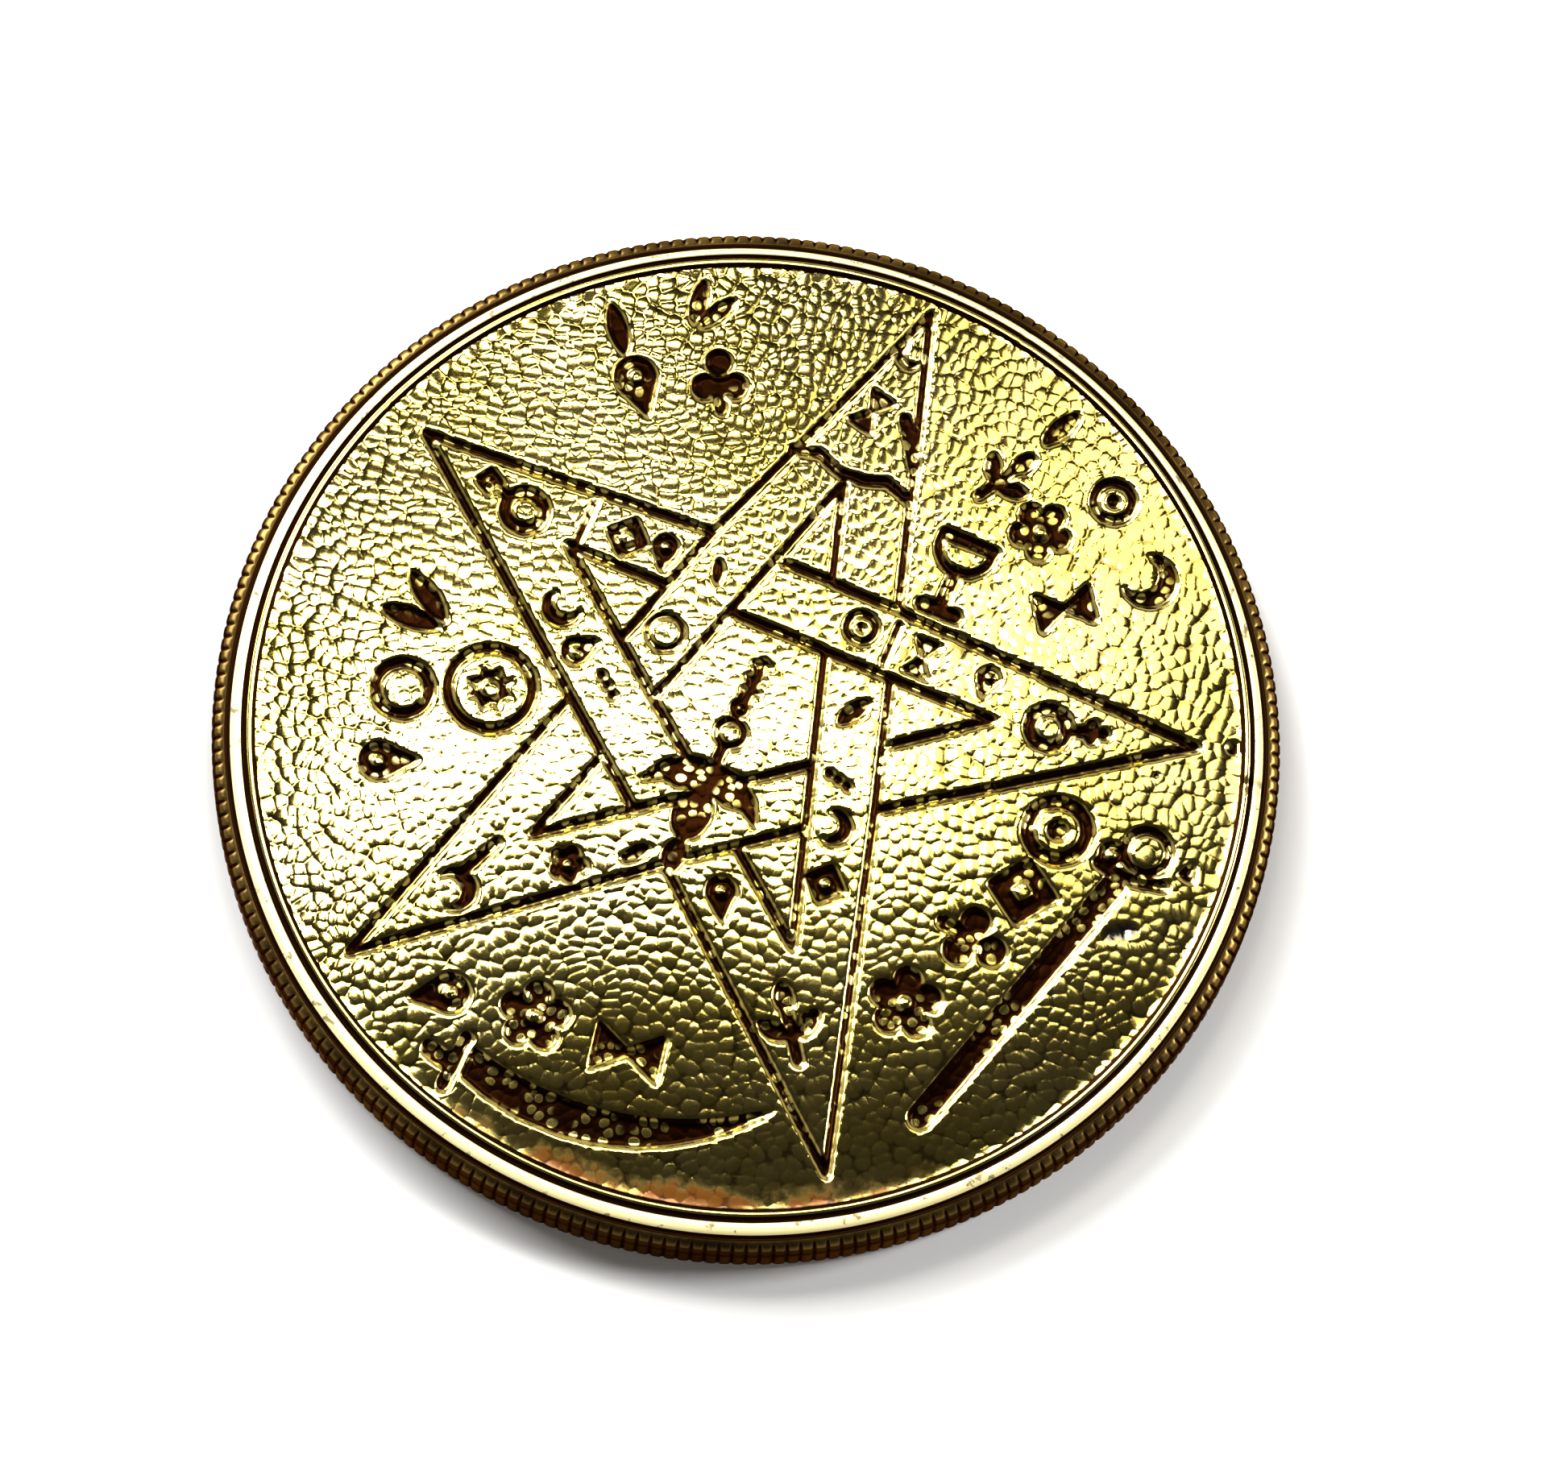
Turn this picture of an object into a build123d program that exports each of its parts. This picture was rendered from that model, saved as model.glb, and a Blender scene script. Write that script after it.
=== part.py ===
from build123d import *
import os
from math import atan2, cos, degrees, hypot, pi, radians, sin

# A round souvenir token, lying on its reverse. Millimetres; +Z is up, out of the obverse,
# +Y is the way its star points, and the origin is the middle of the reverse's rim plane.

# Whole token
token_radius = 20.0
token_thickness = 2.2

# Reeded edge band: a ring pressed round the three stacked discs
band_inner_radius = 19.4
band_step = 0.07
shoulder_radius = 0.48
reed_count = 248
reed_depth = 0.07
reed_mouth = 0.16

# Stacked discs: a struck sheet on each side of a plain core
sheet_thickness = 0.75
rim_edge_break = 0.1

# Rim and field of a struck face, as depths below the rim's top
rim_inner_radius = 18.92
ledge_outer_radius = 18.82
ledge_inner_radius = 18.62
field_radius = 18.4
ledge_depth = 0.13
field_depth = 0.3
strike_offset = 0.2

# Sunk figures of a struck face
figure_depth = 0.18
line_width = 0.26
fine_line = 0.2

# Star: its tips, the waists between two arms, and the tips of the outline inside, from the top
star_tips = [(0.0, 18.25), (15.7, 6.2), (9.2, -14.5), (-10.25, -13.7), (-15.75, 6.15)]
star_waists = [(3.37, 6.74), (5.56, -0.91), (-0.86, -5.92), (-6.6, -1.3), (-4.2, 6.85)]
inner_tips = [(-0.45, 10.6), (8.25, 4.15), (4.75, -7.0), (-5.8, -6.8), (-9.1, 4.2)]


# ---------------------------------------------------------------- strokes and small figures

def segment(start, end, width):
    """A straight groove with round ends."""
    run = hypot(end[0] - start[0], end[1] - start[1])
    turn = degrees(atan2(end[1] - start[1], end[0] - start[0]))
    middle = ((start[0] + end[0]) / 2, (start[1] + end[1]) / 2)
    return Pos(*middle) * SlotCenterToCenter(run, width, rotation=turn)


def path(points, width):
    """A groove that bends at each point."""
    return [segment(a, b, width) for a, b in zip(points, points[1:])]


def arc_groove(centre, radius, start, sweep, width):
    """A groove along an arc, with round ends."""
    return SlotArc(CenterArc(centre, radius, start, sweep), width)


def disc(x, y, radius):
    return Pos(x, y) * Circle(radius)


def ring(x, y, outer, inner):
    return Pos(x, y) * (Circle(outer) - Circle(inner))


def polygon(points):
    return make_face(Polyline(*points, close=True))


def placed(figures, x, y, turn=0.0):
    """Figures drawn about the origin, turned and set down at a place."""
    return [Pos(x, y) * Rot(0, 0, turn) * figure for figure in figures]


def leaf(length, width):
    """A pointed leaf, standing up, made by two arcs."""
    bow = (length ** 2 + width ** 2) / (4 * width)
    shift = bow - width / 2
    return Pos(-shift, 0) * Circle(bow) & Pos(shift, 0) * Circle(bow)


def lozenge(size):
    outer = Rot(0, 0, 45) * Rectangle(0.72 * size, 0.72 * size)
    inner = Rot(0, 0, 45) * Rectangle(0.26 * size, 0.26 * size)
    return [outer - inner]


def trefoil(size):
    petals = [Pos(0.26 * size * cos(radians(a)), 0.26 * size * sin(radians(a))) for a in (90, 210, 330)]
    stem = segment((0, -0.05 * size), (0, -0.5 * size), 0.17 * size)
    return [spot * Circle(0.2 * size) for spot in petals] + [stem]


def crescent(size):
    return [Circle(0.48 * size) - Pos(0.2 * size, 0.06 * size) * Circle(0.37 * size)]


def hourglass(size):
    top = polygon([(-0.36 * size, 0.48 * size), (0.36 * size, 0.48 * size), (0, -0.06 * size)])
    foot = polygon([(-0.36 * size, -0.48 * size), (0.36 * size, -0.48 * size), (0, 0.06 * size)])
    return [top, foot]


def drop(size):
    point = polygon([(-0.26 * size, 0.0), (0.26 * size, 0.0), (0, -0.5 * size)])
    return [disc(0, 0.14 * size, 0.3 * size) - disc(0, 0.16 * size, 0.11 * size), point]


def flower(size):
    petals = [
        Rot(0, 0, 72 * i) * Pos(0, 0.29 * size) * Circle(0.17 * size)
        for i in range(5)
    ]
    return petals + [ring(0, 0, 0.24 * size, 0.1 * size)]


def sprig(size):
    stem = segment((0, -0.5 * size), (0, 0.16 * size), 0.13 * size)
    bud = Pos(0, 0.32 * size) * leaf(0.42 * size, 0.24 * size)
    left = Pos(-0.22 * size, -0.06 * size) * Rot(0, 0, 50) * leaf(0.46 * size, 0.22 * size)
    right = Pos(0.22 * size, -0.06 * size) * Rot(0, 0, -50) * leaf(0.46 * size, 0.22 * size)
    return [stem, bud, left, right]


def twin_leaves(size):
    left = Pos(-0.2 * size, 0) * Rot(0, 0, 18) * leaf(0.95 * size, 0.3 * size)
    right = Pos(0.2 * size, 0) * Rot(0, 0, -18) * leaf(0.95 * size, 0.3 * size)
    return [left, right]


def ring_and_dot(size):
    return [ring(0, 0, 0.5 * size, 0.33 * size), disc(0, 0, 0.14 * size)]


def three_dots(size):
    return [disc(0, 0.36 * size * step, 0.15 * size) for step in (-1, 0, 1)]


# ---------------------------------------------------------------- the interlaced star

def crossing(a, b, c, d):
    """Where the line through a and b meets the line through c and d."""
    ux, uy = b[0] - a[0], b[1] - a[1]
    vx, vy = d[0] - c[0], d[1] - c[1]
    t = ((c[0] - a[0]) * vy - (c[1] - a[1]) * vx) / (ux * vy - uy * vx)
    return (a[0] + t * ux, a[1] + t * uy)


def along(a, b, point):
    """How far from a towards b a point on that line lies, from 0 to 1."""
    run = (b[0] - a[0]) ** 2 + (b[1] - a[1]) ** 2
    return ((point[0] - a[0]) * (b[0] - a[0]) + (point[1] - a[1]) * (b[1] - a[1])) / run


def star_lines():
    """Five flat bands, each drawn by two lines that stop where the band goes under the one before.

    The outer line of a band bends a little at the two waists it passes.
    """
    strokes = []
    for i in range(5):
        over = (i + 4) % 5
        onward = (i + 1) % 5
        far = (i + 2) % 5
        waist, next_waist = star_waists[i], star_waists[onward]
        over_edge = (inner_tips[over], inner_tips[onward])
        strokes.append(segment(star_tips[i], waist, line_width))
        again = crossing(waist, next_waist, *over_edge)
        strokes += path([again, next_waist, star_tips[far]], line_width)
        start, end = inner_tips[i], inner_tips[far]
        cuts = [crossing(start, end, star_waists[over], waist), crossing(start, end, *over_edge)]
        cuts.sort(key=lambda point: along(start, end, point))
        strokes.append(segment(start, cuts[0], line_width))
        strokes.append(segment(cuts[1], end, line_width))
    return strokes


# ---------------------------------------------------------------- emblems of the obverse

def chalice():
    bowl = arc_groove((4.8, 10.05), 1.05, 180, 180, 0.3)
    brim = segment((3.85, 10.3), (5.8, 10.3), 0.46)
    stem = segment((4.8, 9.0), (4.75, 7.8), 0.5)
    foot = segment((4.1, 7.35), (5.4, 7.35), 0.56)
    return [bowl, brim, stem, foot]


def ringed_sun():
    rays = [Rot(0, 0, 45 * i) * polygon([(-0.3, 0.0), (0.3, 0.0), (0.0, 0.98)]) for i in range(8)]
    sun = Sketch() + [Circle(0.62)] + rays
    return [ring(-9.5, -2.2, 1.75, 1.43), Pos(-9.5, -2.2) * (sun - Circle(0.4))]


def ringed_rod():
    shaft = segment((14.85, 0.0), (11.55, -11.15), 0.86)
    pommel = ring(15.5, 1.65, 0.97, 0.7)
    guard = path([(14.0, 0.55), (15.2, 0.35), (16.5, 0.62)], 0.42)
    eye = ring(14.3, 1.05, 0.46, 0.22)
    dart = polygon([(16.85, 1.25), (17.55, 1.15), (17.25, 2.0)])
    return [shaft, pommel, eye, dart] + guard


def curved_sabre():
    back = ThreePointArc((-4.6, -15.15), (1.3, -15.4), (6.55, -12.95))
    belly = ThreePointArc((6.55, -12.95), (1.0, -16.75), (-4.6, -16.35))
    heel = Line((-4.6, -16.35), (-4.6, -15.15))
    blade = make_face([back, belly, heel])
    guard = segment((-4.95, -14.95), (-5.05, -16.95), 0.44)
    grip = segment((-5.1, -16.1), (-6.05, -15.85), 0.6)
    return [blade, guard, grip]


def wing(side):
    """One wing of the winged rod; side is -1 for the left one."""
    outline = [(0.0, -1.5), (1.2, -1.7), (1.9, -2.3), (2.4, -3.35), (1.6, -2.85), (0.9, -2.95), (0.0, -2.6)]
    return polygon([(-0.62 + side * x, y) for x, y in outline])


def winged_rod():
    handle = segment((-0.5, 2.75), (-0.6, 1.2), 0.42)
    ticks = [segment((-0.85, y), (-0.2, y + 0.08), 0.2) for y in (1.55, 2.1, 2.65)]
    bulb = disc(-0.62, 0.8, 0.36) - disc(-0.62, 0.8, 0.12)
    eye = ring(-0.55, -0.25, 0.62, 0.42)
    shank = segment((-0.6, -0.9), (-0.64, -6.1), 0.34)
    body = Pos(-0.66, -3.7) * Ellipse(0.72, 1.05)
    tail = Pos(-0.66, -5.5) * Ellipse(0.42, 0.68)
    return [handle, bulb, eye, shank, body, tail, wing(-1), wing(1)] + ticks


def arm_signs():
    """A small sign near each tip of the star."""
    left = [ring(-11.1, 4.8, 0.95, 0.5), segment((-11.95, 5.1), (-12.6, 5.3), 0.3)]
    left += placed(lozenge(1.15), -12.75, 5.35, 15)
    right = [ring(10.3, 4.7, 0.95, 0.48), segment((11.1, 4.9), (11.7, 5.1), 0.32)]
    right += placed(trefoil(1.15), 12.0, 5.2, -75)
    top = placed(crescent(1.0), -0.1, 16.3, 40) + placed(hourglass(1.7), -0.6, 13.7, -15)
    top += [segment((0.72, 13.9), (1.75, 12.3), 0.46)]
    low_right = placed(sprig(3.0), 5.75, -9.7, 35)
    low_left = placed(crescent(1.7), -7.6, -9.9, 200) + [segment((-6.9, -7.6), (-7.5, -9.0), 0.34)]
    wave = path([(-2.75, 11.1), (-1.8, 11.35), (-0.8, 10.95), (0.2, 11.0), (1.0, 11.3), (2.05, 10.95)], 0.34)
    return left + right + top + low_right + low_left + wave


def outer_ornaments():
    """The ornaments in the fields round the star."""
    marks = placed(twin_leaves(2.1), -7.9, 15.1, -10) + placed(trefoil(2.5), -6.4, 12.6, 25)
    marks += placed([leaf(2.3, 0.75)], -10.7, 12.9, 38) + placed(drop(2.7), -9.1, 11.1, 40)
    marks += placed([leaf(2.0, 0.7)], 6.3, 15.9, -25) + placed(sprig(2.7), 5.1, 13.3, -30)
    marks += placed(ring_and_dot(1.8), 9.2, 14.0) + placed(flower(2.6), 7.1, 11.8, -20)
    marks += placed(crescent(2.2), 11.6, 11.6, 150) + placed(hourglass(2.3), 9.1, 9.3, -55)
    marks += placed(ring_and_dot(2.7), 12.1, 1.1) + placed(lozenge(2.7), 11.8, -1.6, 10)
    marks += placed(trefoil(2.8), 10.9, -4.1, -100) + placed(flower(3.0), 9.4, -7.3, 15)
    marks += placed(drop(2.5), -6.5, -13.8, -60) + placed(flower(2.9), -3.0, -13.2, 12)
    marks += placed(hourglass(2.7), 0.7, -13.1, -80)
    marks += placed(twin_leaves(2.6), -13.2, -0.3, 75) + [ring(-12.5, -3.5, 1.2, 0.82)]
    marks += placed(drop(2.4), -11.9, -6.3, 115)
    return marks


def band_ornaments():
    """The small ornaments inside the star's bands."""
    marks = placed(lozenge(1.7), -7.1, 5.35) + placed(drop(1.6), -5.6, 5.35, 10)
    marks += [segment((-8.75, 4.35), (-8.8, 6.3), fine_line)]
    marks += placed([leaf(1.1, 0.4)], -3.45, 5.45, 20) + [ring(-4.35, 2.45, 0.76, 0.6)]
    marks += placed(crescent(1.5), -8.3, 1.8, 60) + placed(drop(1.7), -7.0, 0.6, 140)
    marks += placed(three_dots(1.2), -5.55, -0.35, 50)
    marks += placed(ring_and_dot(1.35), 2.35, 5.55) + [segment((3.65, 4.5), (3.6, 6.3), fine_line)]
    marks += placed(hourglass(1.6), 4.9, 5.35) + placed(drop(1.4), 7.5, 5.45)
    marks += placed([leaf(1.6, 0.62)], 3.35, 2.35, -30) + placed(three_dots(1.2), 3.85, -0.35, 75)
    marks += placed(crescent(1.4), 4.4, -2.1, 170) + placed(lozenge(1.6), 4.95, -4.25)
    marks += placed(flower(1.6), -4.15, -7.35) + placed([leaf(1.3, 0.5)], -2.0, -5.95, -40)
    marks += placed(drop(1.9), 1.6, -6.3, 25)
    marks += [segment((-5.2, 3.2), (-5.6, 1.9), fine_line)]
    return marks


def obverse_figures():
    figures = star_lines() + chalice() + ringed_sun() + ringed_rod() + curved_sabre()
    figures += winged_rod() + arm_signs() + outer_ornaments() + band_ornaments()
    return Sketch() + figures


# ---------------------------------------------------------------- figures of the reverse

rose_outer = 10.6
rose_inner = 4.4
rose_points = 8
bead_ring_radius = 16.4
bead_radius = 0.42
bead_count = 40


def reverse_figures():
    """A compass rose inside a ring of sunk beads, with a sprig between each two rays."""
    rose = []
    for i in range(rose_points):
        turn = 360 / rose_points * i
        reach = rose_outer if i % 2 == 0 else 0.72 * rose_outer
        lean = rose_inner * sin(pi / rose_points)
        root = rose_inner * cos(pi / rose_points)
        side = Rot(0, 0, turn) * polygon([(0, 1.6), (lean, root), (0, reach)])
        rose.append(side)
        edges = path([(-lean, root), (0, reach), (lean, root)], fine_line)
        rose += [Rot(0, 0, turn) * edge for edge in edges]
    hub = [ring(0, 0, 1.3, 0.95)]
    circles = [ring(0, 0, 12.3, 12.0), ring(0, 0, 14.9, 14.56)]
    beads = [
        Rot(0, 0, 360 / bead_count * i) * Pos(0, bead_ring_radius) * Circle(bead_radius)
        for i in range(bead_count)
    ]
    sprigs = []
    for i in range(rose_points):
        turn = 360 / rose_points * (i + 0.5)
        sprigs += [Rot(0, 0, turn) * Pos(0, 9.3) * figure for figure in sprig(2.6)]
    leaves = []
    for i in range(24):
        leaves.append(Rot(0, 0, 15 * i) * Pos(0, 13.43) * Rot(0, 0, 62) * leaf(1.9, 0.62))
    return Sketch() + rose + hub + circles + beads + sprigs + leaves


# ---------------------------------------------------------------- the pieces

def struck_sheet(figures, offset):
    """A face sheet, struck side up, with its underside on z = 0."""
    top = sheet_thickness
    outline = [
        (0, 0),
        (band_inner_radius, 0),
        (band_inner_radius, top - rim_edge_break),
        (band_inner_radius - rim_edge_break, top),
        (0, top),
    ]
    blank = revolve(Plane.XZ * polygon(outline), Axis.Z)
    recess = [
        (0, top - field_depth),
        (field_radius, top - field_depth),
        (ledge_inner_radius, top - ledge_depth),
        (ledge_outer_radius, top - ledge_depth),
        (rim_inner_radius, top),
        (rim_inner_radius, top + 1),
        (0, top + 1),
    ]
    sink = Pos(0, offset) * revolve(Plane.XZ * polygon(recess), Axis.Z)
    floor = top - field_depth - figure_depth
    cut = extrude(Pos(0, 0, floor) * figures, amount=2 * figure_depth)
    return blank - sink - cut


def obverse_face():
    return Pos(0, 0, token_thickness - sheet_thickness) * struck_sheet(obverse_figures(), strike_offset)


def reverse_face():
    turned = Rot(0, 180, 0) * struck_sheet(reverse_figures(), 0)
    return Pos(0, 0, sheet_thickness) * turned


def core_disc():
    height = token_thickness - 2 * sheet_thickness
    return Pos(0, 0, token_thickness / 2) * Cylinder(band_inner_radius, height)


def edge_band():
    """The reeded ring; each rounded shoulder is turned as a run of narrow cones."""
    low = band_step
    high = token_thickness - band_step
    centre = token_radius - shoulder_radius
    outline = [(band_inner_radius, high), (band_inner_radius, low)]
    for turn in range(-90, 91, 30):
        middle = low + shoulder_radius if turn <= 0 else high - shoulder_radius
        reach = centre + shoulder_radius * cos(radians(turn))
        outline.append((reach, middle + shoulder_radius * sin(radians(turn))))
        if turn == 0:
            outline.append((reach, high - shoulder_radius))
    hoop = revolve(Plane.XZ * polygon(outline), Axis.Z)
    flare = reed_mouth * (reed_depth + 0.1) / (2 * reed_depth)
    notch = polygon([(0.1, flare), (-reed_depth, 0), (0.1, -flare)])
    notches = [
        Rot(0, 0, 360 / reed_count * (i + 0.5)) * Pos(token_radius, 0) * notch
        for i in range(reed_count)
    ]
    plan = Circle(token_radius) - notches
    return hoop & extrude(plan, amount=token_thickness)


pieces = {
    "obverse_face": obverse_face,
    "core_disc": core_disc,
    "reverse_face": reverse_face,
    "edge_band": edge_band,
}

os.makedirs("parts", exist_ok=True)
for name, make in pieces.items():
    piece = make()
    export_step(piece, f"parts/{name}.step")
    print(f"{name}: {len(piece.solids())} solid, {piece.volume:.1f} mm3")
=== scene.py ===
import bmesh
import bpy
import math
import numpy as np
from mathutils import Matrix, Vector
from mathutils.bvhtree import BVHTree


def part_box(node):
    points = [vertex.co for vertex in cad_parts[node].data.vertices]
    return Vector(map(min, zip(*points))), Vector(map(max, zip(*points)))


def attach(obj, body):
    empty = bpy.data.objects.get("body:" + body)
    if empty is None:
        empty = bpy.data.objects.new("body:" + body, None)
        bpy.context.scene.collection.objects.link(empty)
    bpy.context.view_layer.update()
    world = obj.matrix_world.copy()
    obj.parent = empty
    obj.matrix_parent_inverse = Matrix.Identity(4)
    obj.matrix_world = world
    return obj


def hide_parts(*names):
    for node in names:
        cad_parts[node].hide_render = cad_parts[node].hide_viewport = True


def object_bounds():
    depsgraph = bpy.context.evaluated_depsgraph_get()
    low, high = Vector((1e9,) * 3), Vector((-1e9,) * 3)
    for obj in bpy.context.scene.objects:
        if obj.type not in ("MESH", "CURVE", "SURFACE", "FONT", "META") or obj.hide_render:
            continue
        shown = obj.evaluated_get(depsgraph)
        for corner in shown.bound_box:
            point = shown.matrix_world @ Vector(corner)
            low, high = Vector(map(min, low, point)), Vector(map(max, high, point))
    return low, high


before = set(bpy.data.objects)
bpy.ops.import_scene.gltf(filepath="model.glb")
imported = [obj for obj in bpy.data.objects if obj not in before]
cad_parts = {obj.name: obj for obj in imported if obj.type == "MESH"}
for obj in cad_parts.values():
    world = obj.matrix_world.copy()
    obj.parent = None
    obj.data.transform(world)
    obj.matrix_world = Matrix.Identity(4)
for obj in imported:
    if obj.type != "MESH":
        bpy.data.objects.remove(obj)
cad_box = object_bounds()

MM = 0.001


# ---------------------------------------------------------------------------
# Table, lamps and camera. The token lies on its reverse on a pale table. Soft
# panels stand beyond it, so the far and left part of the field shines and the
# near part stays dark. The camera looks down from the token's near edge.
# ---------------------------------------------------------------------------

class Value:
    """One shader value. Arithmetic on it adds Math nodes."""

    def __init__(self, finish, socket):
        self.finish = finish
        self.socket = socket

    def math(self, operation, *others):
        values = {i: other for i, other in enumerate((self,) + others)}
        return self.finish.node("ShaderNodeMath", {"operation": operation}, values, "Value")

    def __add__(self, other):
        return self.math("ADD", other)

    def __sub__(self, other):
        return self.math("SUBTRACT", other)

    def __mul__(self, other):
        return self.math("MULTIPLY", other)

    def __pow__(self, other):
        return self.math("POWER", other)

    def __rsub__(self, other):
        return self.finish.node("ShaderNodeMath", {"operation": "SUBTRACT"}, {0: other, 1: self}, "Value")

    __radd__ = __add__
    __rmul__ = __mul__

    def ramp(self, low, high):
        """0 below low, 1 above high, smooth between."""
        limits = {"Value": self, "From Min": low, "From Max": high, "To Min": 0.0, "To Max": 1.0}
        return self.finish.node("ShaderNodeMapRange", {"interpolation_type": "SMOOTHSTEP"}, limits, "Result")


class Finish:
    """A material, or the light of the room, built from expressions round one shader."""

    def __init__(self, name, room=None):
        self.material = room or bpy.data.materials.new(name)
        self.material.use_nodes = True
        self.tree = self.material.node_tree
        self.shader = self.tree.nodes["Background" if room else "Principled BSDF"]

    def connect(self, socket, value):
        """Links a value to a socket, or sets a number or colour on it."""
        if isinstance(value, Value):
            self.tree.links.new(value.socket, socket)
        elif socket.type == "RGBA" and len(value) == 3:
            socket.default_value = (*value, 1.0)
        else:
            socket.default_value = value

    def find(self, sockets, key):
        """The socket with this place, identifier or name."""
        if isinstance(key, int):
            return sockets[key]
        named = [s for s in sockets if s.identifier == key] + [s for s in sockets if s.name == key]
        return named[0]

    def node(self, kind, settings, values, out):
        """Adds a node: its settings first, then its sockets, and gives back one output."""
        made = self.tree.nodes.new(kind)
        for key, setting in settings.items():
            setattr(made, key, setting)
        for key, value in values.items():
            self.connect(self.find(made.inputs, key), value)
        return Value(self, self.find(made.outputs, out))

    def set(self, **values):
        """Sets or links the shader's own sockets."""
        for key, value in values.items():
            self.connect(self.shader.inputs[key.replace("_", " ").title()], value)

    def place(self):
        return self.node("ShaderNodeTexCoord", {}, {}, "Object")

    def stretched(self, place, scale, turn=0.0):
        """The place scaled by axis, so that a noise read from it runs in streaks."""
        values = {"Vector": place, "Scale": scale, "Rotation": (0.0, 0.0, turn)}
        return self.node("ShaderNodeMapping", {"vector_type": "POINT"}, values, "Vector")

    def noise(self, place, scale, detail=3.0, roughness=0.5):
        values = {"Vector": place, "Scale": scale, "Detail": detail, "Roughness": roughness}
        return self.node("ShaderNodeTexNoise", {}, values, "Fac")

    def attribute(self, name):
        return self.node("ShaderNodeAttribute", {"attribute_name": name}, {}, "Fac")

    def blend(self, factor, first, second):
        values = {"Factor_Float": factor, "A_Color": first, "B_Color": second}
        return self.node("ShaderNodeMix", {"data_type": "RGBA"}, values, "Result_Color")

    def bump(self, height, distance, strength=1.0):
        values = {"Height": height, "Distance": distance, "Strength": strength}
        return self.node("ShaderNodeBump", {}, values, "Normal")


def finished(name, mesh, material):
    """A new object at the origin, with its place in its mesh."""
    piece = bpy.data.objects.new(name, mesh)
    bpy.context.scene.collection.objects.link(piece)
    mesh.materials.append(material)
    return piece


table_size = 3.0
table_finish = Finish("pale_table")
table_place = table_finish.place()
table_tone = table_finish.noise(table_place, 40.0)
table_finish.set(
    base_color=table_finish.blend(table_tone, (0.86, 0.86, 0.85), (0.89, 0.89, 0.88)),
    roughness=0.75,
)
table_shape = bmesh.new()
bmesh.ops.create_grid(table_shape, x_segments=1, y_segments=1, size=table_size / 2)
table_mesh = bpy.data.meshes.new("table")
table_shape.to_mesh(table_mesh)
table_shape.free()
table = finished("table", table_mesh, table_finish.material)

token_top = Vector((0.0, 0.0, cad_box[1][2]))
camera_distance = 270.8 * MM
camera_elevation = math.radians(72.4)
camera_heading = math.radians(-75.82)
camera_roll = math.radians(8.82)
camera_side_step = 1.34 * MM

towards_camera = Vector((
    math.cos(camera_elevation) * math.cos(camera_heading),
    math.cos(camera_elevation) * math.sin(camera_heading),
    math.sin(camera_elevation),
))
camera_data = bpy.data.cameras.new("camera")
camera_data.lens = 166.5
camera_data.sensor_width = 36.0
camera_data.clip_start = 0.01
camera = bpy.data.objects.new("camera", camera_data)
bpy.context.scene.collection.objects.link(camera)
level = towards_camera.to_track_quat("Z", "Y")
camera.rotation_mode = "QUATERNION"
level_side = level @ Vector((1, 0, 0))
level_up = level @ Vector((0, 1, 0))
camera_side = level_side * math.cos(camera_roll) + level_up * math.sin(camera_roll)
camera_up = level_up * math.cos(camera_roll) - level_side * math.sin(camera_roll)
turn = level.to_matrix()
turn.col[0] = camera_side
turn.col[1] = camera_up
turn.col[2] = towards_camera
camera.rotation_quaternion = turn.to_quaternion()
camera.location = token_top + towards_camera * camera_distance + camera_side * camera_side_step
bpy.context.scene.camera = camera


def soft_lamp(name, aim, direction, distance, size, power, colour):
    """A rectangular panel that faces a point of the token from a direction."""
    data = bpy.data.lights.new(name, "AREA")
    data.shape = "RECTANGLE"
    data.size, data.size_y = size
    data.energy = power
    data.color = colour
    lamp = bpy.data.objects.new(name, data)
    bpy.context.scene.collection.objects.link(lamp)
    away = direction.normalized()
    lamp.location = aim + away * distance
    lamp.rotation_mode = "QUATERNION"
    lamp.rotation_quaternion = away.to_track_quat("Z", "Y")


view_up = Vector((camera_up.x, camera_up.y, 0)).normalized()
view_side = Vector((camera_side.x, camera_side.y, 0)).normalized()


panel_distance = 50 * MM
panel_white = (1.0, 0.98, 0.94)
panel_yellow = (1.0, 0.95, 0.78)
lamp_distance = 700 * MM
horizon_light = 1.1
overhead_light = 0.055


def mirrored_panel(name, side, up, width, height, radiance, colour):
    """A panel beyond the token that the field mirrors as a bright patch, given in millimetres."""
    patch = token_top + (view_side * side + view_up * up) * MM
    ray = (patch - camera.location).normalized()
    away = Vector((ray.x, ray.y, -ray.z))
    spread = 1 + panel_distance / (patch - camera.location).length
    size = (width * spread * MM, height * spread * 0.95 * MM)
    power = radiance * math.pi * size[0] * size[1]
    soft_lamp(name, patch, away, panel_distance, size, power, colour)


mirrored_panel("key_panel", -3.0, 0.0, 22, 10.5, 11.0, panel_white)
mirrored_panel("left_panel", -16.0, -1.0, 5, 16, 10.0, panel_white)
mirrored_panel("far_panel", -6.0, 17.0, 15, 4, 10.0, panel_white)
mirrored_panel("side_panel", 12.5, 6.0, 13, 22, 2.9, panel_yellow)
low_left = view_up * 0.75 - view_side * 0.65 + Vector((0, 0, 0.58))
soft_lamp("window_lamp", token_top, low_left, lamp_distance, (500 * MM, 380 * MM), 9.0, (1, 1, 1))
low_right = view_side + view_up * 0.2 + Vector((0, 0, 0.8))
soft_lamp("room_lamp", token_top, low_right, lamp_distance, (200 * MM, 200 * MM), 3.5, (1, 1, 1))

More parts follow.
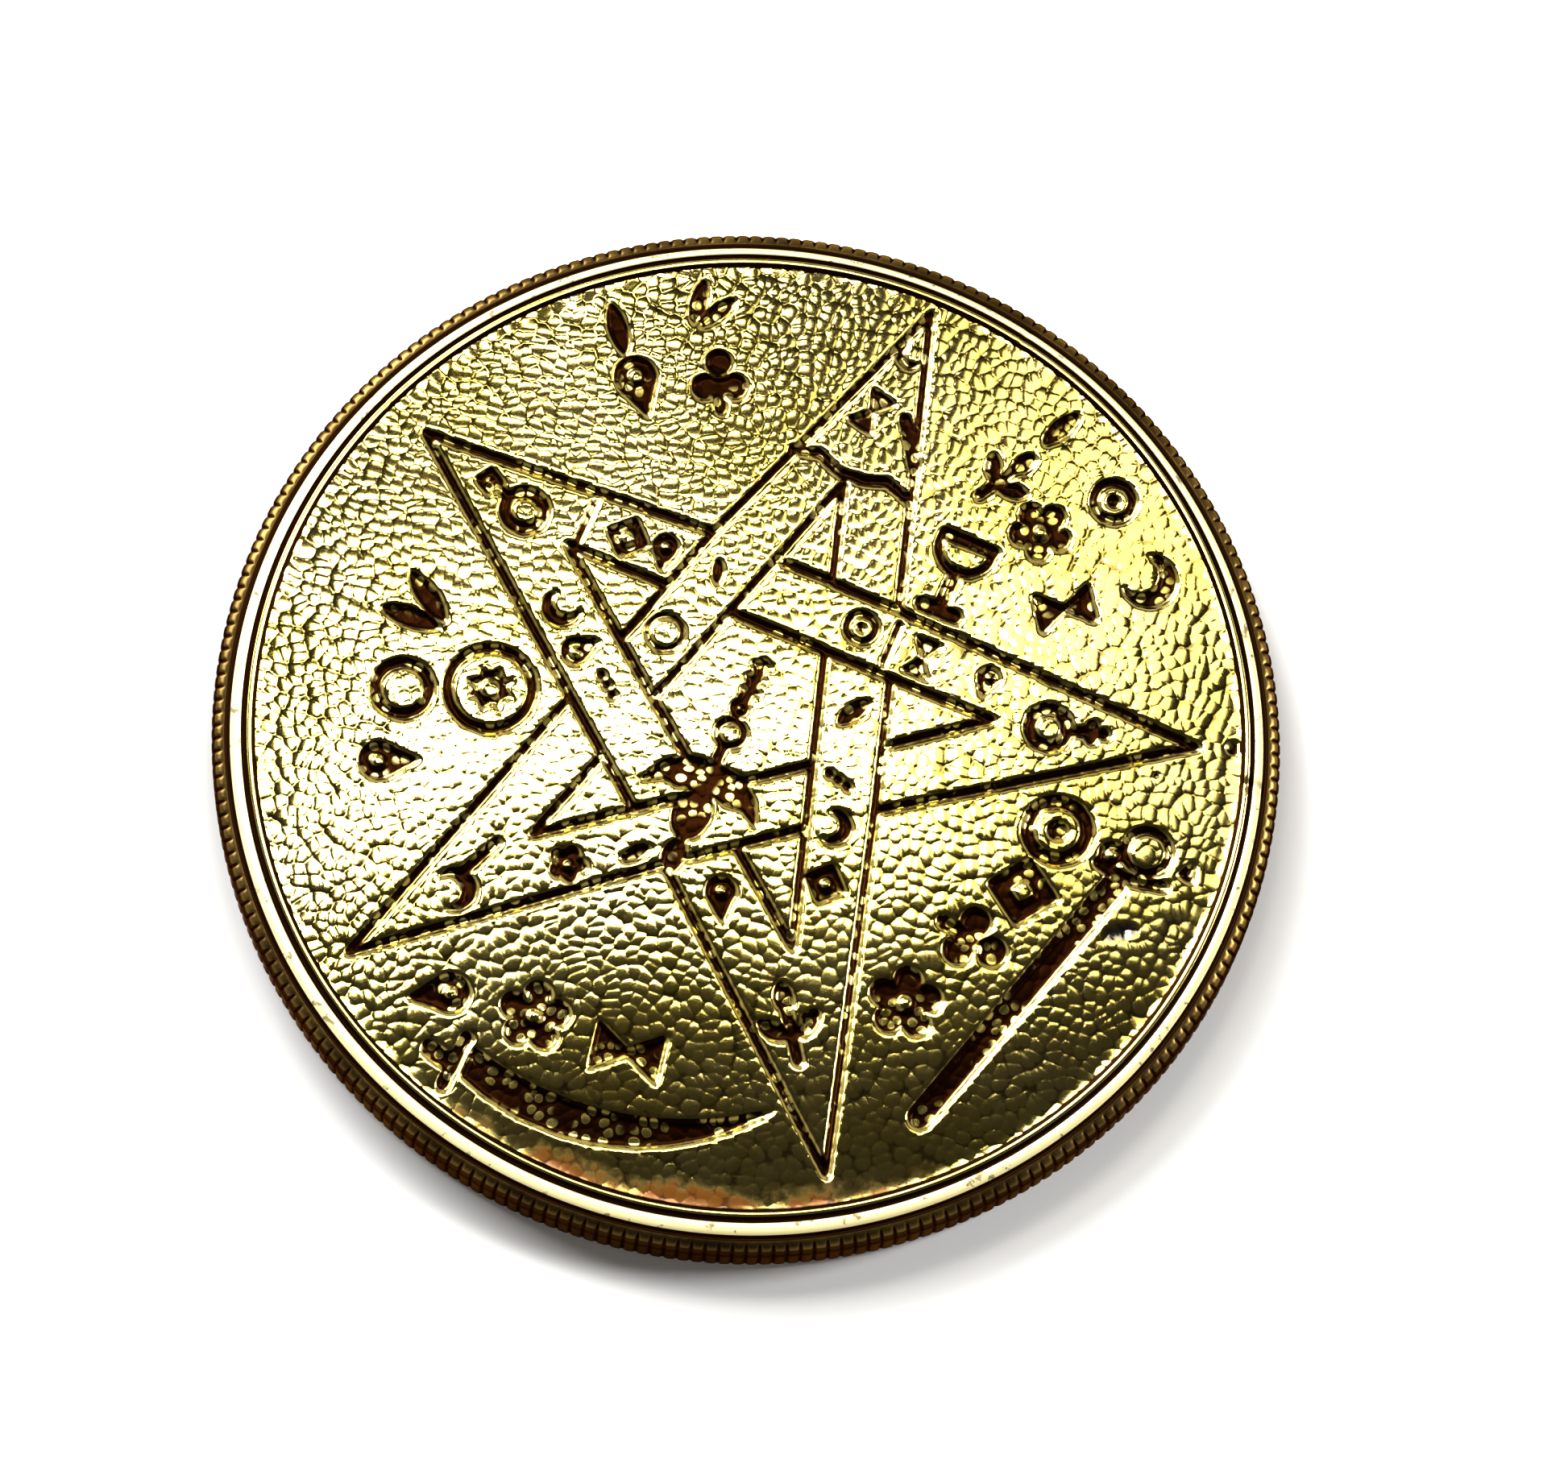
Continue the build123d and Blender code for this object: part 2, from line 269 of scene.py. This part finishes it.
bpy.context.scene.world = bpy.data.worlds.new("room")
room_light = Finish("room_light", bpy.context.scene.world)
direction = room_light.node("ShaderNodeTexCoord", {}, {}, "Generated")
height = room_light.node("ShaderNodeSeparateXYZ", {}, {"Vector": direction}, "Z")
room_light.set(
    color=(0.50, 0.46, 0.43),
    strength=horizon_light - (horizon_light - overhead_light) * height.ramp(0.3, 0.8),
)
bpy.context.scene.view_settings.view_transform = "Standard"


# ---------------------------------------------------------------------------
# Obverse face: the yellow sheet struck with the star. The dies sink the figures
# into a pebbled field, and the rim stands round it with a ledge inside. It is
# gilt, with a painted highlight on the rim top, painted shade in the sunk figures
# and the creases, and browner towards the near edge.
# ---------------------------------------------------------------------------

face_reach = 19.0 * MM
edge_softness = 0.085 * MM
pebble_size = 0.48 * MM
pebble_height = 0.021 * MM
field_radius = 18.45 * MM
sheet_radius = 19.4 * MM
figure_depth = 0.18 * MM
bank_width = 0.35 * MM
bank_height = 0.03 * MM
# Browner and less metallic near the edge, centred on the side that faces the camera.
near_brown_start = 16.8 * MM
near_brown_width = 1.2 * MM
near_brown_heading = -76
near_brown_spread = 32
# Painted shade: how far the darkening of the sunk figures is moved, onto their upper-left walls.
shade_shift = (0.085 * MM, -0.06 * MM)


def scatter(i, j, seed):
    """A fixed number from 0 to 1 for each cell of a grid."""
    mixed = np.sin(i * 127.1 + j * 311.7 + seed * 74.7) * 43758.5453
    return mixed - np.floor(mixed)


def drift(x, y, size, seed):
    """Slow, smooth unevenness from -1 to 1, from waves in seeded directions."""
    total = np.zeros_like(x)
    for k in range(6):
        angle = 2 * math.pi * scatter(k, seed, 3)
        wave = (0.6 + 0.8 * scatter(k, seed, 5)) * 2 * math.pi / size
        phase = 2 * math.pi * scatter(k, seed, 7)
        total += np.sin((x * math.cos(angle) + y * math.sin(angle)) * wave + phase)
    return total / 6


def nearest_two(x, y, size, seed):
    """Distances, in cells, to the two nearest of the points scattered one to a cell."""
    gx, gy = np.floor(x / size), np.floor(y / size)
    first = np.full(x.shape, 9.0)
    second = np.full(x.shape, 9.0)
    for di in (-1, 0, 1):
        for dj in (-1, 0, 1):
            ci, cj = gx + di, gy + dj
            px = ci + 0.5 + 0.9 * (scatter(ci, cj, seed) - 0.5)
            py = cj + 0.5 + 0.9 * (scatter(ci, cj, seed + 1) - 0.5)
            away = np.hypot(x / size - px, y / size - py)
            second = np.minimum(second, np.maximum(first, away))
            first = np.minimum(first, away)
    return first, second


def pebbles(x, y, seed):
    """Rounded grains, 1 on top and 0 in the creases between them."""
    wander = 0.35 * pebble_size
    wx = x + wander * drift(x, y, 5.0 * pebble_size, seed + 11)
    wy = y + wander * drift(x, y, 5.0 * pebble_size, seed + 12)
    first, second = nearest_two(wx, wy, pebble_size, seed)
    crease = np.clip((second - first) / 0.30, 0, 1)
    return 0.62 * (1 - (first / 0.75) ** 2) + 0.38 * np.sqrt(1 - (1 - crease) ** 2)


def softened(heights, width):
    """The grid of heights with its steps made into short slopes, width in grid steps."""
    reach = int(3 * width) + 1
    weights = np.exp(-0.5 * (np.arange(-reach, reach + 1) / width) ** 2)
    weights /= weights.sum()
    for axis in (0, 1):
        pads = [(reach, reach) if k == axis else (0, 0) for k in (0, 1)]
        wide = np.pad(heights, pads, mode="edge")
        parts = []
        for k, weight in enumerate(weights):
            rows = [slice(None), slice(None)]
            rows[axis] = slice(k, k + heights.shape[axis])
            parts.append(weight * wide[tuple(rows)])
        heights = sum(parts)
    return heights


class Relief:
    """The heights of one struck face, read off its solid by rays, with the field at 0."""

    def __init__(self, node, side, centre_y, step, marks, seed):
        self.side = side
        self.centre_y = centre_y
        self.step = step
        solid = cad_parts[node].data
        points = [v.co.copy() for v in solid.vertices]
        tree = BVHTree.FromPolygons(points, [p.vertices[:] for p in solid.polygons])
        low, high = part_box(node)
        start = high[2] + MM if side > 0 else low[2] - MM
        down = Vector((0, 0, -side))
        self.count = int(2 * face_reach / step) + 1
        self.line = np.linspace(-face_reach, face_reach, self.count)
        found = np.zeros((self.count, self.count))
        for j, y in enumerate(self.line):
            for i, x in enumerate(self.line):
                hit = tree.ray_cast(Vector((side * x, y, start)), down)[0]
                found[j, i] = hit.z if hit else np.nan
        self.field_z = float(np.nanmedian(found))
        sunk = np.nan_to_num(side * (found - self.field_z))
        self.x, self.y = np.meshgrid(self.line, self.line)
        sunk = softened(np.minimum(sunk, 0), edge_softness / step)
        self.hollow = np.clip(-sunk / figure_depth, 0, 1)
        # Painted shade: the sunk figures darkened, moved onto their upper-left walls, the side the lamps
        # leave dark.
        self.darkening = self.sample(self.hollow, self.x + side * shade_shift[0], self.y + shade_shift[1])
        grains = pebbles(self.x, self.y, seed)
        self.grain = grains
        turn = np.degrees(np.arctan2(self.y, self.x)) - near_brown_heading
        lip = np.clip((np.hypot(self.x, self.y) - near_brown_start) / near_brown_width, 0, 1)
        patchy = 0.8 + 0.5 * drift(self.x, self.y, 3 * MM, seed + 30)
        self.near_brown = np.clip(lip * patchy, 0, 1) * np.exp(-((turn / near_brown_spread) ** 2)) * (side > 0)
        worn = np.clip((0.6 * side * self.x - 0.8 * self.y) / (18 * MM), 0, 1)
        strength = 1.45 - 0.85 * worn + 0.4 * drift(self.x, self.y, 9 * MM, seed + 20)
        radius = np.hypot(self.x, self.y - centre_y)
        bank = np.clip((radius - (field_radius - bank_width)) / bank_width, 0, 1) ** 2
        uneven = 0.02 * MM * drift(self.x, self.y, 14 * MM, seed + 21)
        self.height = sunk + pebble_height * strength * grains + bank_height * bank + uneven
        self.bare = np.zeros_like(self.x)
        for x, y, reach, depth, bare in marks:
            close = np.exp(-(((self.x - x) ** 2 + (self.y - y) ** 2) / reach ** 2) ** 2)
            self.height -= depth * close
            self.bare = np.maximum(self.bare, bare * close)
            # The nick and the speck get painted shade too; the worn spots stay bare.
            self.darkening = np.maximum(self.darkening, (1 - bare) * close)
        self.slope_y, self.slope_x = np.gradient(self.height, step)

    def sample(self, grid, x, y):
        """The grid's value at each place, blended between its four nearest points."""
        u = np.clip((x + face_reach) / self.step, 0, self.count - 1.001)
        v = np.clip((y + face_reach) / self.step, 0, self.count - 1.001)
        i, j = u.astype(int), v.astype(int)
        a, b = u - i, v - j
        low = grid[j, i] * (1 - a) + grid[j, i + 1] * a
        high = grid[j + 1, i] * (1 - a) + grid[j + 1, i + 1] * a
        return low * (1 - b) + high * b


def quarter_sheet(name, relief, quarter, cuts, underside, material):
    """A quarter of a face's field as a solid wedge with the relief on its top."""
    shape = bmesh.new()
    bmesh.ops.create_grid(shape, x_segments=cuts, y_segments=cuts, size=0.5)
    top_count = len(shape.verts)
    top_faces = len(shape.faces)
    rim_edges = [e for e in shape.edges if e.is_boundary]
    for edge in rim_edges:
        edge.smooth = False
    made = bmesh.ops.extrude_edge_only(shape, edges=rim_edges)["geom"]
    low_edges = [g for g in made if isinstance(g, bmesh.types.BMEdge) and g.is_boundary]
    for edge in low_edges:
        edge.smooth = False
    bmesh.ops.contextual_create(shape, geom=low_edges)
    for vert in {v for e in low_edges for v in e.verts}:
        vert.co.z = -1.0
    bmesh.ops.recalc_face_normals(shape, faces=shape.faces)
    mesh = bpy.data.meshes.new(name)
    shape.to_mesh(mesh)
    shape.free()

    flat = np.empty(3 * len(mesh.vertices))
    mesh.vertices.foreach_get("co", flat)
    u, v = flat[0::3] + 0.5, flat[1::3] + 0.5
    reach = np.maximum(u, v)
    safe = np.maximum(reach, 1e-9)
    angle = np.where(u >= v, v / safe, 2 - u / safe) * math.pi / 4
    angle += quarter * math.pi / 2
    x = field_radius * reach * np.cos(angle)
    y = field_radius * reach * np.sin(angle) + relief.centre_y
    height = relief.sample(relief.height, x, y)
    height[top_count:] = relief.side * (underside - relief.field_z)
    flat[0::3] = relief.side * x
    flat[1::3] = y
    flat[2::3] = relief.field_z + relief.side * height
    mesh.vertices.foreach_set("co", flat)

    # Masks the material reads: painted shade in the hollows, pebble height, browning near the edge, worn
    # spots.
    looks = {"hollow": relief.darkening, "grain": relief.grain, "near_brown": relief.near_brown, "bare": relief.bare}
    for key, grid in looks.items():
        layer = mesh.attributes.new(key, "FLOAT", "POINT")
        layer.data.foreach_set("value", relief.sample(grid, x, y))

    normals = np.zeros((len(mesh.vertices), 3))
    normals[:, 0] = -relief.side * relief.sample(relief.slope_x, x, y)
    normals[:, 1] = -relief.sample(relief.slope_y, x, y)
    normals[:, 2] = relief.side
    normals /= np.linalg.norm(normals, axis=1)[:, None]
    corners = np.empty(len(mesh.loops), dtype=np.int32)
    mesh.loops.foreach_get("vertex_index", corners)
    corner_normals = normals[corners]
    starts = np.empty(len(mesh.polygons), dtype=np.int32)
    mesh.polygons.foreach_get("loop_start", starts)
    corner_normals[starts[top_faces]:] = 0.0
    mesh.normals_split_custom_set(corner_normals)
    mesh.update()
    return finished(name, mesh, material)


turned_grain = 0.75


def turned_ring(profile, steps):
    """A closed profile of (radius, height, darkening), in millimetres, turned round the axis. The darkening
    is how dark the gilt is painted there, carried in the hollow attribute.
    """
    shape = bmesh.new()
    around = profile + profile[:1]
    bmesh.ops.create_grid(shape, x_segments=len(around) - 1, y_segments=steps, size=0.5)
    hollow = shape.verts.layers.float.new("hollow")
    grain = shape.verts.layers.float.new("grain")
    for vert in shape.verts:
        radius, height, darkening = around[round((vert.co.x + 0.5) * (len(around) - 1))]
        angle = 2 * math.pi * (vert.co.y + 0.5)
        vert.co = (radius * MM * math.cos(angle), radius * MM * math.sin(angle), height * MM)
        vert[hollow] = darkening
        vert[grain] = turned_grain
    bmesh.ops.remove_doubles(shape, verts=shape.verts, dist=1e-7)
    bmesh.ops.recalc_face_normals(shape, faces=shape.faces)
    return shape


def arc(centre, radius, start, end, count, darkening):
    """Points of an arc of a profile; angles in degrees from outwards to upwards."""
    angles = np.radians(np.linspace(start, end, count))
    return [(centre[0] + radius * math.cos(a), centre[1] + radius * math.sin(a), darkening) for a in angles]


def rim_profile(top, foot, underside):
    """Inner bank, ledge, groove and crowned top of a rim, and its plain back. Painted shade darkens its
    steps and valleys: the bank's foot, the ledge's edges, the groove and the crown's outer edge.
    """
    bank = [(18.30, foot - 0.03, 0.0), (18.36, foot, 0.2)]
    bank += [(18.40, foot + 0.02, 0.9), (18.50, foot + 0.08, 1.0)]
    ledge = [(18.58, top - 0.145, 0.9), (18.61, top - 0.124, 0.0), (18.68, top - 0.117, 0.0)]
    ledge += [(18.74, top - 0.122, 0.0), (18.77, top - 0.140, 0.8)]
    groove = [(18.81, top - 0.160, 1.0), (18.89, top - 0.155, 1.0), (18.94, top - 0.070, 1.0)]
    crown = arc((19.155, top - 0.70), 0.70, 105, 79, 9, 0.0)
    edge = [(19.32, top - 0.020, 0.9), (19.37, top - 0.045, 1.0), (19.40, top - 0.07, 1.0)]
    return bank + ledge + groove + crown + edge + [(19.40, underside, 0.0), (18.30, underside, 0.0)]


rim_steps = 900
crown_foot = 18.94 * MM
# How much painted highlight the crown and the ledge get.
crown_highlight = 1.2
ledge_highlight = 0.3


def rim_piece(name, side, centre_y, top, foot, underside, nicks, material):
    """A face's rim, with its crown a little uneven and nicked, and marked for a painted highlight."""
    shape = turned_ring(rim_profile(top, foot, underside), rim_steps)
    rim_highlight = shape.verts.layers.float.new("rim_highlight")
    for vert in shape.verts:
        x, y, z = vert.co
        radius = math.hypot(x, y)
        angle = math.atan2(y, x)
        inner = min(max((19.3 * MM - radius) / (0.5 * MM), 0), 1)
        if z > (top - 0.2) * MM:
            wobble = math.sin(7 * angle + 1.3) + math.sin(23 * angle) + math.sin(61 * angle + 0.4)
            vert.co.z += 0.0025 * MM * wobble
            for where, width, depth in nicks:
                off = math.remainder(angle - math.radians(where), 2 * math.pi) * radius
                vert.co.z -= depth * math.exp(-((off / width) ** 2))
        # Painted highlight: the crown is marked to be coloured pale cream.
        vert[rim_highlight] = crown_highlight if radius > crown_foot else ledge_highlight
        vert.co.y += centre_y * inner
        if side < 0:
            vert.co.x *= -1
            vert.co.z = top * MM - vert.co.z
    for face in shape.faces:
        face.smooth = True
    for edge in shape.edges:
        edge.smooth = edge.calc_face_angle(0) < math.radians(50)
    mesh = bpy.data.meshes.new(name)
    shape.to_mesh(mesh)
    shape.free()
    return finished(name, mesh, material)


def gilt(name, bright, deep, shade_colour, polish):
    """Gilding: two tones of gold, with painted shade in hollows and creases, a painted highlight on the rim
    crown, browner near one edge, finely scratched.
    """
    finish = Finish(name)
    place = finish.place()
    tone = finish.noise(place, 260.0, 4.0, 0.6)
    colour = finish.blend(tone.ramp(0.35, 0.65), bright, deep)
    hollow = finish.attribute("hollow")
    grain = finish.attribute("grain")
    near_brown = finish.attribute("near_brown")
    rim_highlight = finish.attribute("rim_highlight")
    # A random amount for the painted shade in the creases and for the browning.
    darkening = finish.noise(place, 1500.0, 5.0, 0.65).ramp(0.35, 0.75)
    # Pebble tops that the painted shade in the hollows leaves out.
    unshaded_tops = grain.ramp(0.78, 0.9) * finish.noise(place, 700.0, 1.0).ramp(0.45, 0.6)
    # Painted shade in the creases between the pebbles.
    crease = (1 - grain).ramp(0.3, 0.8)
    # Painted shade in the sunk figures and the rim's grooves, left off the pebble tops.
    hollow_shade = hollow.ramp(0.16, 0.58) * (1 - 0.8 * unshaded_tops)
    flecks = finish.noise(place, 2400.0, 3.0, 0.6).ramp(0.60, 0.68) * (rim_highlight - ledge_highlight)
    shade_and_flecks = hollow_shade.math("MAXIMUM", crease * (0.45 + 0.35 * darkening)).math("MAXIMUM", flecks * 0.8)
    # Browner and less metallic towards the near edge.
    near_browning = (near_brown * (0.6 + 0.5 * darkening)).ramp(0.15, 0.55)
    colour = finish.blend(near_browning, colour, (0.22, 0.08, 0.011))
    # Painted highlight: the rim crown blended to pale cream.
    colour = finish.blend((rim_highlight - ledge_highlight).ramp(0.0, 0.9), colour, (0.98, 0.84, 0.42))
    colour = finish.blend(finish.attribute("bare"), colour, (0.20, 0.19, 0.18))
    # Painted shade: hollows, creases and dark flecks blended to a dark brown.
    colour = finish.blend(shade_and_flecks, colour, shade_colour)
    hair = finish.noise(finish.stretched(place, (1500.0, 60000.0, 1500.0), 0.5), 1.0, 2.0)
    cross = finish.noise(finish.stretched(place, (50000.0, 1800.0, 1500.0), -0.3), 1.0, 2.0)
    fine = finish.noise(place, 9000.0, 4.0, 0.7)
    finish.set(
        base_color=colour,
        metallic=1 - 0.6 * near_browning ** 3,
        roughness=polish + 0.07 * fine + 0.3 * rim_highlight + 0.08 * near_browning + 0.2 * hollow_shade,
        normal=finish.bump(hair + cross + fine * 1.5, 0.0000003),
    )
    return finish


face_finish = gilt("gilt_face", (0.96, 0.78, 0.24), (0.84, 0.66, 0.14), (0.011, 0.003, 0.0006), 0.06)
token_high = cad_box[1][2] / MM
sheet_thick = 0.75
strike_offset = 0.2 * MM
field_foot = token_high - 0.3
sheet_back = token_high - sheet_thick

nick = (16.93 * MM, 6.73 * MM, 0.28 * MM, 0.10 * MM, 0.0)
speck = (14.67 * MM, 4.57 * MM, 0.12 * MM, 0.03 * MM, 0.0)
worn_spots = ((15.4, -1.85), (15.7, -1.62), (15.98, -1.42))
worn_patch = [(x * MM, y * MM, 0.34 * MM, 0.02 * MM, 1.0) for x, y in worn_spots]
obverse_marks = [nick, speck] + worn_patch
obverse = Relief("obverse_face", 1, strike_offset, 0.05 * MM, obverse_marks, 5)
for quarter in range(4):
    wedge = quarter_sheet(
        f"obverse_field_{quarter + 1}", obverse, quarter, 280, sheet_back * MM, face_finish.material
    )
    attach(wedge, "root")
    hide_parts("obverse_face")

obverse_nicks = [(16.6, 0.2 * MM, 0.09 * MM), (79.0, 0.12 * MM, 0.05 * MM), (160.0, 0.1 * MM, 0.04 * MM)]
obverse_rim = rim_piece(
    "obverse_rim", 1, strike_offset, token_high, field_foot, sheet_back, obverse_nicks, face_finish.material
)
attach(obverse_rim, "root")
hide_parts("obverse_face")


# ---------------------------------------------------------------------------
# Reverse face: the same sheet struck with a compass rose, and the same rim. It is
# less worn, being the side the token lies on.
# ---------------------------------------------------------------------------

reverse = Relief("reverse_face", -1, 0.0, 0.06 * MM, [], 9)
for quarter in range(4):
    wedge = quarter_sheet(
        f"reverse_field_{quarter + 1}", reverse, quarter, 220, sheet_thick * MM, face_finish.material
    )
    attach(wedge, "root")
    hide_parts("reverse_face")

reverse_nicks = [(200.0, 0.15 * MM, 0.05 * MM), (310.0, 0.1 * MM, 0.04 * MM)]
reverse_rim = rim_piece(
    "reverse_rim", -1, 0.0, token_high, field_foot, sheet_back, reverse_nicks, face_finish.material
)
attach(reverse_rim, "root")
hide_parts("reverse_face")


# ---------------------------------------------------------------------------
# Core disc: the plain blank between the two sheets, turned and left bare. The
# edge band grips it, so none of it shows until the token is taken apart.
# ---------------------------------------------------------------------------

core_finish = Finish("core_metal")
core_place = core_finish.place()
reach = core_finish.node("ShaderNodeVectorMath", {"operation": "LENGTH"}, {"Vector": core_place}, "Value")
lathe = (reach * 60000.0).math("SINE")
core_grey = core_finish.noise(core_place, 900.0, 4.0, 0.6)
core_finish.set(
    base_color=core_finish.blend(core_grey, (0.46, 0.46, 0.47), (0.60, 0.60, 0.60)),
    metallic=1.0,
    roughness=0.30 + 0.15 * core_grey,
    normal=core_finish.bump(lathe, 0.000001),
)
core_shape = bmesh.new()
bmesh.ops.create_cone(
    core_shape, cap_ends=True, segments=360, radius1=sheet_radius, radius2=sheet_radius,
    depth=(token_high - 2 * sheet_thick) * MM,
)
bmesh.ops.translate(core_shape, verts=core_shape.verts, vec=(0, 0, token_high / 2 * MM))
core_mesh = bpy.data.meshes.new("core_disc")
core_shape.to_mesh(core_mesh)
core_shape.free()
core_disc = finished("core_disc", core_mesh, core_finish.material)
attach(core_disc, "root")
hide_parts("core_disc")


# ---------------------------------------------------------------------------
# Edge band: the reeded ring round the discs. It is gilt too, but its colour is
# painted dark brown as shade, darkest between the reeds and on its shoulders,
# with dark joints at its seams.
# ---------------------------------------------------------------------------

reed_count = 248
steps_per_reed = 8
reed_depth = 0.06 * MM
shoulder = 0.48


def band_profile():
    """The ring's section: a seam below, a shoulder, the wall, a shoulder, and a seam above. The seams are
    dark joints; the shoulders and the wall are darkened as painted shade.
    """
    low, high = 0.07, token_high - 0.07
    seam_low = [(19.40, low, 1.0), (19.47, low, 1.0), (19.51, low, 0.5)]
    seam_high = [(19.51, high, 0.5), (19.47, high, 1.0), (19.40, high, 1.0)]
    under = arc((20 - shoulder, low + shoulder), shoulder, -88, 0, 10, 0.45)
    wall = [(20.0, h, 0.38) for h in np.linspace(low + shoulder, high - shoulder, 7)[1:-1]]
    over = arc((20 - shoulder, high - shoulder), shoulder, 0, 40, 5, 0.5)
    over += arc((20 - shoulder, high - shoulder), shoulder, 48, 86, 5, 0.1)
    return seam_low + under + wall + over + seam_high


band_shape = turned_ring(band_profile(), reed_count * steps_per_reed)
dirt_layer = band_shape.verts.layers.float["hollow"]
middle = token_high / 2 * MM
for vert in band_shape.verts:
    x, y, z = vert.co
    radius = math.hypot(x, y)
    outer = min(max((radius - 19.55 * MM) / (0.2 * MM), 0), 1)
    valley = (0.5 - 0.5 * math.cos(reed_count * math.atan2(y, x))) ** 5
    sink = reed_depth * valley * outer
    vert.co.x *= (radius - sink) / radius
    vert.co.y *= (radius - sink) / radius
    vert.co.z += 0.25 * sink * (1 if z < middle else -1)
    # Painted shade between the reeds.
    vert[dirt_layer] = max(vert[dirt_layer], valley * outer)
for face in band_shape.faces:
    face.smooth = True
band_mesh = bpy.data.meshes.new("edge_band")
band_shape.to_mesh(band_mesh)
band_shape.free()

# Painted shade: the band's gilt is given dark brown tones, as the band is seen in shade.
edge_shade_finish = gilt("gilt_edge", (0.21, 0.13, 0.035), (0.095, 0.058, 0.016), (0.012, 0.004, 0.001), 0.26)
edge_shade_finish.set(specular_tint=(0.42, 0.30, 0.15))
edge_band = finished("edge_band", band_mesh, edge_shade_finish.material)
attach(edge_band, "root")
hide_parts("edge_band")
